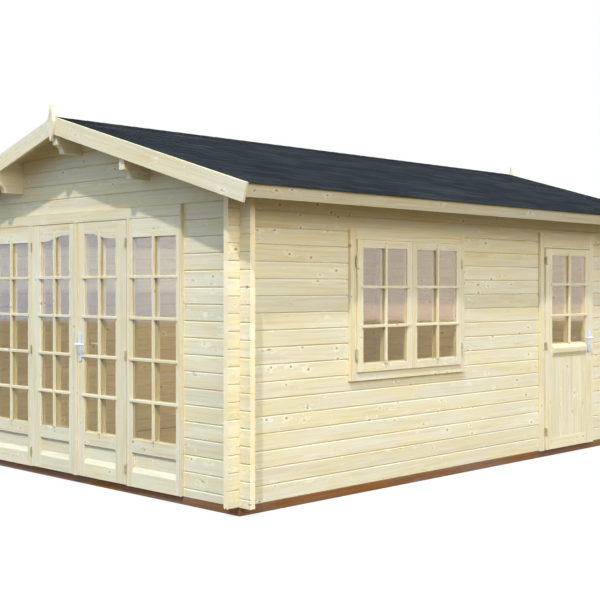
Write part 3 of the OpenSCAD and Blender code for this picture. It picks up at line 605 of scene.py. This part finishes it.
def roof_boards(name, side):
    """The boards of one roof slope."""
    low, high, thick, length = layer_sizes(name)
    down, out = slope_ways(side)
    count = round((high.y - low.y) / ROOF_BOARD_W)
    width = (high.y - low.y) / count
    section = v_jointed(width, thick, ROOF_BOARD_EASE)
    ridge = Vector((0, 0, high.z))
    bm = new_bmesh()
    for i in range(count):
        corner = ridge + Y * (low.y + i * width) + down * (thick * math.tan(ROOF_PITCH))
        add_board(bm, section, corner, down, Y, -out, length)
    add_piece(name + "_planks", bm, spruce, "root", (name,))


# Floor boards along the room
FLOOR_BOARD_W = 0.11
FLOOR_BOARD_EASE = 0.0015


def floor_planks():
    """The boards of the floor."""
    low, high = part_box("floor_boards")
    count = round((high.x - low.x) / FLOOR_BOARD_W)
    width = (high.x - low.x) / count
    section = v_jointed(width, high.z - low.z, FLOOR_BOARD_EASE)
    bm = new_bmesh()
    for i in range(count):
        add_board(bm, section, Vector((low.x + i * width, low.y, low.z)), Y, X, Z, high.y - low.y)
    add_piece("floor_planks", bm, spruce, "root", ("floor_boards",))


# Shingles: staggered tabs whose lower edges lie on the course below
SHINGLE_EXPOSURE = 0.145
SHINGLE_TAB_W = 0.333
SHINGLE_SLOT = 0.006
SHINGLE_LAP = 0.05
SHINGLE_THICK = 0.0022
SHINGLE_LIFT = 0.0008
SHINGLE_WAVE = 0.0006
UNDERLAY_T = 0.001
TAB_FACES = ((2, 3, 7, 6), (0, 4, 5, 1), (4, 6, 7, 5), (0, 1, 3, 2), (0, 2, 6, 4), (1, 5, 7, 3))


def set_tone(bm, verts, own):
    """Writes one tone to all corners of a shingle."""
    tone = bm.verts.layers.float["tone"]
    for vert in verts:
        vert[tone] = own


def add_tab(bm, corner, down, out, length, width):
    """One tab: a thin slab that rises to its lower edge; its corners carry one tone."""
    own = rng.random()
    verts = []
    for along, rise in ((0.0, 0.0), (length, SHINGLE_LIFT)):
        for height in (0.0, SHINGLE_THICK):
            for across in (0.0, width):
                wave = rng.uniform(0, SHINGLE_WAVE) if along and height else 0.0
                lifted = corner + down * along + Y * across + out * (rise + height + wave)
                verts.append(bm.verts.new(lifted))
    set_tone(bm, verts, own)
    for face in TAB_FACES:
        bm.faces.new([verts[i] for i in face])


def shingle_tabs(name, side):
    """The tabs of one roof slope, over an underlay at the lowest tab tone, whose dark shows in the slots
    between them as painted shade.
    """
    low, high, thick, length = layer_sizes(name)
    down, out = slope_ways(side)
    top = Vector((0, 0, high.z - thick / math.cos(ROOF_PITCH)))
    bm = new_bmesh()
    for course in range(math.ceil(length / SHINGLE_EXPOSURE)):
        foot = length - course * SHINGLE_EXPOSURE
        head = max(0.0, foot - SHINGLE_EXPOSURE - SHINGLE_LAP)
        start = low.y - SHINGLE_TAB_W * (0.5 if course % 2 else 0.0)
        while start < high.y - SHINGLE_SLOT:
            first = max(low.y, start + SHINGLE_SLOT / 2)
            last = min(high.y, start + SHINGLE_TAB_W - SHINGLE_SLOT / 2)
            if last - first > SHINGLE_SLOT:
                add_tab(bm, top + down * head + Y * first, down, out, foot - head, last - first)
            start += SHINGLE_TAB_W
    # The underlay keeps the lowest tone: painted shade in the slots between the tabs
    prism(bm, plain(high.y - low.y, UNDERLAY_T), top + Y * low.y, down, Y, out, length)
    add_piece(name + "_tabs", bm, granules, "root", (name,))


# Ridge: folded pieces that lap along the ridge
CAP_EXPOSURE = 0.145
CAP_LENGTH = 0.20
CAP_WING = 0.125
CAP_THICK = 0.0022
CAP_CLEAR = -0.0010
CAP_DROP = 0.9 * CAP_THICK
CAP_FACES = ((3, 4), (4, 5), (5, 2), (2, 1), (1, 0), (0, 3))


def ridge_caps():
    """A row of folded caps, each with its far end under the next."""
    low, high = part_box("right_shingles")
    bm = new_bmesh()
    right, right_out = slope_ways(1)
    left, left_out = slope_ways(-1)
    ridge = Vector((0, 0, high.z))
    count = math.ceil((high.y - low.y - CAP_LENGTH) / CAP_EXPOSURE) + 1
    for i in range(count):
        start = low.y + i * (high.y - low.y - CAP_LENGTH) / (count - 1)
        rings = []
        for along, lift in ((0.0, CAP_CLEAR), (CAP_LENGTH, CAP_CLEAR - CAP_DROP)):
            ring = []
            for height in (lift, lift + CAP_THICK):
                rise = Z * (height / math.cos(ROOF_PITCH))
                ring += [ridge + left * CAP_WING + left_out * height, ridge + rise,
                         ridge + right * CAP_WING + right_out * height]
            rings.append([bm.verts.new(p + Y * (start + along)) for p in ring])
        near, far = rings
        set_tone(bm, near + far, rng.random())
        for a, b in CAP_FACES:
            bm.faces.new((near[a], near[b], far[b], far[a]))
        for ring in rings:
            bm.faces.new((ring[0], ring[1], ring[4], ring[3]))
            bm.faces.new((ring[1], ring[2], ring[5], ring[4]))
    add_piece("ridge_caps", bm, granules, "root")


# Glazing bars: a lattice on each face of a pane, with a nail in the rails over and under the upright bar
BAR_W = 0.022
BAR_PROUD = 0.010
CROSS_PROUD = 0.0092
BAR_LAP = 0.021
BAR_EASE = 0.003
BEAD_W = 0.011
BEAD_FACE = 0.35 * BEAD_W
NAIL_R = 0.0042
NAIL_H = 0.0016
NAIL_OVER = 0.021
NAIL_UNDER = 0.033
NAIL_SEGMENTS = 10
# Height and thickness of the dark strip at the head of the sidelight panes, painted shadow under the head
# rail
HEAD_SHADOW_H = 0.006
HEAD_SHADOW_T = 0.0025


class Pane:
    """A face of glass: lower corner, ways along and out, sizes, and how deep it lies in its frame."""

    def __init__(self, corner, along, out, width, height, reveal):
        self.corner, self.along, self.out = corner, along, out
        self.width, self.height, self.reveal = width, height, reveal


def faces_of(low, high, frame_low, frame_high):
    """The outer and inner faces of a pane between the two faces of its frame."""
    height = high.z - low.z
    if high.y - low.y < high.x - low.x:
        return [Pane(low, X, -Y, high.x - low.x, height, low.y - frame_low),
                Pane(Vector((low.x, high.y, low.z)), X, Y, high.x - low.x, height, frame_high - high.y)]
    return [Pane(Vector((high.x, low.y, low.z)), Y, X, high.y - low.y, height, frame_high - high.x),
            Pane(low, Y, -X, high.y - low.y, height, low.x - frame_low)]


def add_bar(bm, pane, offset, way, across, length, proud, laps):
    """A bar that fills the reveal between the stiles and laps over the frame at its ends."""
    start = pane.corner + across * (offset - BAR_W / 2)
    add_board(bm, eased(BAR_W, pane.reveal, BAR_EASE / 2), start, way, across, pane.out, length)
    start = start + pane.out * pane.reveal - way * laps[0]
    add_board(bm, eased(BAR_W, proud, BAR_EASE), start, way, across, pane.out, length + sum(laps))


def add_nails(bm, pane, head_lap):
    """A nail in the rail over the upright bar and one in the rail under it."""
    face = pane.corner + pane.along * (pane.width / 2) + pane.out * pane.reveal
    for height in (-NAIL_UNDER, pane.height + head_lap + NAIL_OVER):
        add_disc(bm, face + Z * height, pane.out, NAIL_R, NAIL_H, NAIL_SEGMENTS)


def add_beads(bm, pane):
    """Slim glazing beads up both sides and along the foot of the room side of a pane."""
    section = [(0, 0), (BEAD_W, 0), (BEAD_W, BEAD_FACE), (BEAD_FACE, BEAD_W), (0, BEAD_W)]
    far = pane.corner + pane.along * pane.width
    add_board(bm, section, pane.corner, Z, pane.along, pane.out, pane.height)
    add_board(bm, section, far, Z, -pane.along, pane.out, pane.height)
    add_board(bm, section, pane.corner, pane.along, Z, pane.out, pane.width)


def head_shadow_strip(name, pane):
    """A slim dark strip along the head of a fixed pane: painted shadow under the head rail, in the nails'
    dark steel.
    """
    bm = bmesh.new()
    corner = pane.corner + Z * (pane.height - HEAD_SHADOW_H)
    prism(bm, plain(HEAD_SHADOW_H, HEAD_SHADOW_T), corner, pane.along, Z, pane.out, pane.width)
    add_piece(name + "_head_shadow_strip", bm, nail_steel, "root")


def glazing(name, body, panes, heights, head_lap):
    """The bars, beads and nails of one pane, given its outer and inner faces."""
    bm = new_bmesh()
    nails = bmesh.new()
    for pane in panes:
        add_bar(bm, pane, pane.width / 2, Z, pane.along, pane.height, BAR_PROUD, (0.0, head_lap))
        for height in heights:
            add_bar(bm, pane, height, pane.along, Z, pane.width, CROSS_PROUD, (BAR_LAP, BAR_LAP))
        add_nails(nails, pane, head_lap)
    add_beads(bm, panes[1])
    add_piece(name + "_bars", bm, spruce, body)
    add_piece(name + "_nails", nails, nail_steel, body)


def rows(first, step, count):
    """Heights of cross bars over the foot of a pane."""
    return [first + i * step for i in range(count)]


FRONT_HEAD_LAP = 0.034
LEAF_HEAD_LAP = 0.022
SIDE_HEAD_LAP = 0.020
FRONT_ROWS = rows(first=0.274, step=0.2943, count=4)
WINDOW_ROWS = rows(first=0.270, step=0.284, count=2)
SIDE_ROWS = rows(first=0.250, step=0.274, count=2)


def half_box(node, low_side):
    """Box of the solids of a node on one side of the middle of its longer way."""
    low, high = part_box(node)
    axis = 0 if high.x - low.x > high.y - low.y else 1
    middle = (low[axis] + high[axis]) / 2
    points = [v.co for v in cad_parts[node].data.vertices if (v.co[axis] < middle) == low_side]
    return (Vector([min(p[i] for p in points) for i in range(3)]),
            Vector([max(p[i] for p in points) for i in range(3)]))


def all_glazing():
    """The glazing of the front leaves, the sidelights, the window and the side door."""
    for leaf in ("front_left", "front_right"):
        low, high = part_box(leaf + "_glass")
        panes = faces_of(low, high, FRONT_FACE, FRONT_BACK)
        glazing(leaf, leaf + "_door", panes, FRONT_ROWS, LEAF_HEAD_LAP)
    for name, low_side in (("left", True), ("right", False)):
        low, high = half_box("sidelight_glass", low_side)
        panes = faces_of(low, high, SIDELIGHT_FACE, SIDELIGHT_BACK)
        glazing("sidelight_" + name, "root", panes, FRONT_ROWS, FRONT_HEAD_LAP)
        # Painted shadow: a dark strip under the head of each sidelight pane
        head_shadow_strip("sidelight_" + name, panes[0])
    for name, low_side in (("front", True), ("rear", False)):
        low, high = half_box("window_glass", low_side)
        panes = faces_of(low, high, SASH_BACK, SIDE_FACE)
        glazing("window_" + name, "root", panes, WINDOW_ROWS, SIDE_HEAD_LAP)
    low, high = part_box("side_glass")
    panes = faces_of(low, high, SIDE_LEAF_BACK, SIDE_FACE)
    glazing("side", "side_door", panes, SIDE_ROWS, SIDE_HEAD_LAP)


# Boards of the side leaf's lower field
FIELD_STILE = 0.0975
FIELD_FOOT = 0.0955
FIELD_H = 0.713
FIELD_SET = 0.008
FIELD_T = 0.016
FIELD_BOARDS = 8
FIELD_SKIN = 0.0045
FIELD_EASE = 0.0035


def side_leaf_boards():
    """Upright boards on both faces of the side leaf's field."""
    low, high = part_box("side_leaf")
    width = (high.y - low.y - 2 * FIELD_STILE) / FIELD_BOARDS
    section = v_jointed(width, FIELD_SKIN, FIELD_EASE)
    bm = new_bmesh()
    for face, out in ((SIDE_FACE - FIELD_SET, X), (SIDE_FACE - FIELD_SET - FIELD_T, -X)):
        for i in range(FIELD_BOARDS):
            corner = Vector((face, low.y + FIELD_STILE + i * width, low.z + FIELD_FOOT))
            add_board(bm, section, corner, Z, Y, out, FIELD_H)
    add_piece("side_leaf_boards", bm, spruce, "side_door")


# Barrels of the window's hinges, on the outer edges of the sashes
BARREL_R = 0.009
BARREL_H = 0.072
BARREL_TIP = 0.006
BARREL_TIP_R = 0.6 * BARREL_R
BARREL_BESIDE = 0.0095
BARREL_SET = 0.002
BARREL_OVER_FOOT = 0.128
BARREL_UNDER_HEAD = 0.154


def window_hinges():
    """Two barrels with small tips at the outer edge of each sash."""
    low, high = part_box("window_sashes")
    bm = bmesh.new()
    for edge in (low.y - BARREL_BESIDE, high.y + BARREL_BESIDE):
        for height in (low.z + BARREL_OVER_FOOT, high.z - BARREL_UNDER_HEAD):
            centre = Vector((high.x - BARREL_SET, edge, height))
            add_disc(bm, centre, Z, BARREL_R, BARREL_H)
            for end in (-1, 1):
                tip = centre + Z * (end * (BARREL_H + BARREL_TIP) / 2)
                add_disc(bm, tip, Z, BARREL_TIP_R, BARREL_TIP)
    add_piece("window_hinges", bm, pale_brass, "root")


# Lock and screws on the back plates
LOCK_R = 0.0105
LOCK_H = 0.0024
LOCK_AT = 0.24
SCREW_R = 0.0036
SCREW_H = 0.0012
SCREW_INSET = 0.012
MARK_T = 0.0003
KEYWAY = (0.0055, 0.016)
SCREW_SLOT = (0.0012, 1.6 * SCREW_R)


def add_slot_shade(bm, centre, side, out, width, height):
    """A thin upright sheet on a face, which carries the painted shade of a keyway or screw slot."""
    corner = centre - side * (width / 2) - Z * (height / 2)
    prism(bm, plain(width, MARK_T), corner, Z, side, out, height)


def plate_fittings(name, body, side, out):
    """A lock with its keyway and two screws on each face of the back plates; keyway and screw slots are dark
    sheets of painted shade.
    """
    low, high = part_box(name)
    middle = (low + high) / 2
    rise = high.z - low.z
    metal, dark = bmesh.new(), bmesh.new()
    for way in (1, -1):
        face = middle + out * (way * abs((high - low).dot(out)) / 2)
        lock = Vector((face.x, face.y, low.z + rise * LOCK_AT))
        add_disc(metal, lock, out, LOCK_R, LOCK_H)
        add_slot_shade(dark, lock + out * (way * LOCK_H / 2), side, out * way, *KEYWAY)
        for height in (low.z + SCREW_INSET, high.z - SCREW_INSET):
            screw = Vector((face.x, face.y, height))
            add_disc(metal, screw, out, SCREW_R, SCREW_H)
            add_slot_shade(dark, screw + out * (way * SCREW_H / 2), side, out * way, *SCREW_SLOT)
    add_piece(name + "_fittings", metal, aluminium, body)
    add_piece(name + "_slots", dark, keyhole_painted_shade, body)


# Floor and sky, linear colours: white in view, dull ground and soft sky for the light that they give
FLOOR_SIZE = 60.0
FLOOR_GLOW = 0.80
FLOOR_PALE = (0.15, 0.15, 0.15, 1.0)
GROUND_DULL = (0.080, 0.057, 0.026, 1.0)
GROUND_DRY = (0.105, 0.079, 0.04, 1.0)
GROUND_SCALE = (0.6, 0.6, 0.6)
WHITE = (1.0, 1.0, 1.0, 1.0)
SKY_LOW = (0.27, 0.24, 0.17, 1.0)
SKY_HIGH = (0.72, 0.94, 1.20, 1.0)
SKY_RISE = (0.0, 0.4)


def shown(s):
    """1 for the rays that see the white background: straight, mirrored or through something clear."""
    path = s.node("ShaderNodeLightPath").outputs
    mirrored = s.math("ADD", path["Is Glossy Ray"], path["Is Transmission Ray"])
    return s.math("MINIMUM", s.math("ADD", path["Is Camera Ray"], mirrored), 1.0)


def studio_floor():
    """Pale floor: white with the house's soft shadow in view, a dull ground for the light thrown back."""
    s = Surface("studio_floor")
    dull = s.blend(s.noise(s.coordinates("Object"), GROUND_SCALE, 3.0), GROUND_DULL, GROUND_DRY)
    ground = s.node("ShaderNodeBsdfDiffuse", Color=dull)
    glow = s.node("ShaderNodeEmission", Color=WHITE, Strength=FLOOR_GLOW)
    shade = s.node("ShaderNodeBsdfDiffuse", Color=FLOOR_PALE)
    pale = s.node("ShaderNodeAddShader")
    s.feed(pale.inputs[0], glow.outputs[0])
    s.feed(pale.inputs[1], shade.outputs[0])
    bm = bmesh.new()
    bmesh.ops.create_grid(bm, x_segments=1, y_segments=1, size=FLOOR_SIZE / 2)
    floor = mesh_object("studio_floor", bm, s.finish(s.mix_shaders(shown(s), ground, pale)))


class WorldSurface(Surface):
    """The world's nodes, with the same calls."""

    def __init__(self, name):
        self.world = bpy.data.worlds.new(name)
        self.world.use_nodes = True
        self.tree = self.world.node_tree
        self.tree.nodes.clear()

    def finish(self, shader):
        self.node("ShaderNodeOutputWorld", Surface=shader.outputs[0])
        return self.world


def studio_world():
    """Soft sky light, white in view."""
    s = WorldSurface("studio_world")
    rise = s.axes(s.coordinates("Generated"))[2]
    sky = s.blend(s.step(rise, *SKY_RISE), SKY_LOW, SKY_HIGH)
    soft = s.node("ShaderNodeBackground", Color=sky, Strength=1.0)
    white = s.node("ShaderNodeBackground", Color=WHITE, Strength=1.0)
    bpy.context.scene.world = s.finish(s.mix_shaders(shown(s), soft, white))


# Suns: way down, strength, colour, angle across in degrees, whether gloss mirrors them
SUNS = {
    "key": ((-0.313, 0.509, -0.802), 2.36, (1.0, 0.985, 0.925), 2.0, True),
    "fill": ((-0.912, 0.05, -0.407), 1.20, (1.0, 0.885, 0.665), 46.0, True),
    "rear": ((0.672, -0.672, -0.309), 1.5, (1.0, 0.90, 0.76), 40.0, False),
}

# Softboxes: middle, width, height, glow, colour, whether they light the wood, whether panes mirror them
SOFTBOXES = {
    "front_softbox": ((-10.0, -9.6, 1.80), 9.0, 1.86, 2.6, (0.32, 0.53, 1.0), True, True),
    "front_strip": ((-9.6, -9.2, 1.80), 9.0, 0.75, 1.0, (1.0, 1.0, 0.62), False, True),
    "side_softbox": ((8.8, 9.7, 1.80), 10.0, 1.86, 1.9, (0.74, 0.80, 1.0), False, True),
    "side_strip": ((8.6, 9.4, 1.02), 10.0, 0.30, 1.5, (1.0, 0.62, 0.32), False, True),
    "front_bounce": ((1.0, -9.5, 3.6), 6.0, 4.0, 0.34, (0.80, 0.95, 1.0), True, False),
    "near_fill": ((6.6, -5.2, 4.2), 3.0, 2.0, 3.3, (1.0, 0.89, 0.70), True, False),
}
SOFTBOX_POWER = 4.0
ROOM_LAMP_AT = (0.0, 0.15, 1.75)
ROOM_LAMP_POWER = 31.0
ROOM_LAMP_COLOUR = (0.98, 0.855, 0.61)
ROOM_LAMP_R = 0.5


def add_lamp(name, kind, power, colour):
    """A lamp of the studio; returns its settings and its object."""
    lamp = bpy.data.lights.new(name, kind)
    lamp.energy = power
    lamp.color = colour
    placed = bpy.data.objects.new(name, lamp)
    bpy.context.scene.collection.objects.link(placed)
    return lamp, placed


def aimed(way):
    """The turn that makes a lamp shine along a way."""
    return Vector(way).to_track_quat("-Z", "Y").to_euler()


def sun(name, way, strength, colour, angle, mirrored):
    """A distant lamp, the softer the wider its angle."""
    lamp, placed = add_lamp(name, "SUN", strength, colour)
    lamp.angle = math.radians(angle)
    placed.rotation_euler = aimed(way)
    placed.visible_glossy = mirrored


def softbox(name, middle, width, height, glow, colour, lights, mirrored):
    """A lit panel that faces the house and stands upright."""
    lamp, placed = add_lamp(name, "AREA", SOFTBOX_POWER * width * height * glow, colour)
    lamp.shape = "RECTANGLE"
    lamp.size, lamp.size_y = width, height
    placed.location = middle
    placed.rotation_euler = aimed((-middle[0], -middle[1], 0))
    placed.visible_camera = False
    placed.visible_diffuse = lights
    placed.visible_glossy = mirrored


def room_lamp():
    """Soft warm light inside, so that the room shows through the panes."""
    lamp, placed = add_lamp("room_lamp", "POINT", ROOM_LAMP_POWER, ROOM_LAMP_COLOUR)
    lamp.shadow_soft_size = ROOM_LAMP_R
    placed.location = ROOM_LAMP_AT
    placed.visible_camera = False
    placed.visible_glossy = False


def photo_camera():
    """The camera at the photograph's place, upright, with its frame shifted down a little."""
    lens = bpy.data.cameras.new("photo_camera")
    lens.lens = CAMERA_LENS
    lens.sensor_width = CAMERA_SENSOR
    lens.shift_y = CAMERA_SHIFT_Y
    lens.clip_end = CAMERA_REACH
    placed = bpy.data.objects.new("photo_camera", lens)
    placed.location = CAMERA_AT
    placed.rotation_euler = (math.pi / 2, 0, CAMERA_HEADING)
    bpy.context.scene.collection.objects.link(placed)
    bpy.context.scene.camera = placed


# The CAD solids that stay, with their materials
PAINTED = (
    (end_logs, ("front_wall_left", "front_wall_right", "front_gable", "rear_wall", "rear_gable")),
    (side_logs, ("left_wall", "right_wall_lower", "right_wall_front", "right_wall_middle", "right_wall_rear",
                 "right_wall_top")),
    (glass, ("front_left_glass", "front_right_glass", "sidelight_glass", "window_glass", "side_glass")),
    (aluminium, ("front_back_plates", "side_back_plates")),
    (lever_metal, ("front_lever", "side_lever")),
    (pale_brass, ("hinge_pins", "front_left_hinges", "front_right_hinges", "side_hinges")),
)
for material, nodes in PAINTED:
    for node in nodes:
        paint(node, material)

# Timbers with eased arrises
JOINERY_ARRIS = 0.0015
ROOF_ARRIS = 0.002
BEAM_ARRIS = 0.003
for node in ("front_door_frame", "sidelights", "window_frame", "window_sashes", "side_door_frame"):
    dress(node, "root", spruce, JOINERY_ARRIS)
for node, body in (("front_left_leaf", "front_left_door"), ("front_right_leaf", "front_right_door"),
                   ("side_leaf", "side_door")):
    dress(node, body, spruce, JOINERY_ARRIS)
for node in ("ridge_purlin", "slope_purlins", "front_barge_boards", "rear_barge_boards", "finials"):
    dress(node, "root", spruce, ROOF_ARRIS)
# The eave boards get the darkened spruce, painted shade
dress("eave_boards", "root", shaded_eave_spruce, ROOF_ARRIS)
for node in ("foundation_beams", "floor_joists"):
    dress(node, "root", treated, BEAM_ARRIS)

# Pieces that the solids leave plain
roof_boards("left_roof_boards", -1)
roof_boards("right_roof_boards", 1)
floor_planks()
shingle_tabs("left_shingles", -1)
shingle_tabs("right_shingles", 1)
ridge_caps()
all_glazing()
side_leaf_boards()
window_hinges()
plate_fittings("front_back_plates", "front_right_door", X, -Y)
plate_fittings("side_back_plates", "side_door", Y, X)

# Stage
studio_floor()
studio_world()
for name, settings in SUNS.items():
    sun(name, *settings)
for name, settings in SOFTBOXES.items():
    softbox(name, *settings)
room_lamp()
photo_camera()
bpy.context.scene.view_settings.view_transform = "Standard"
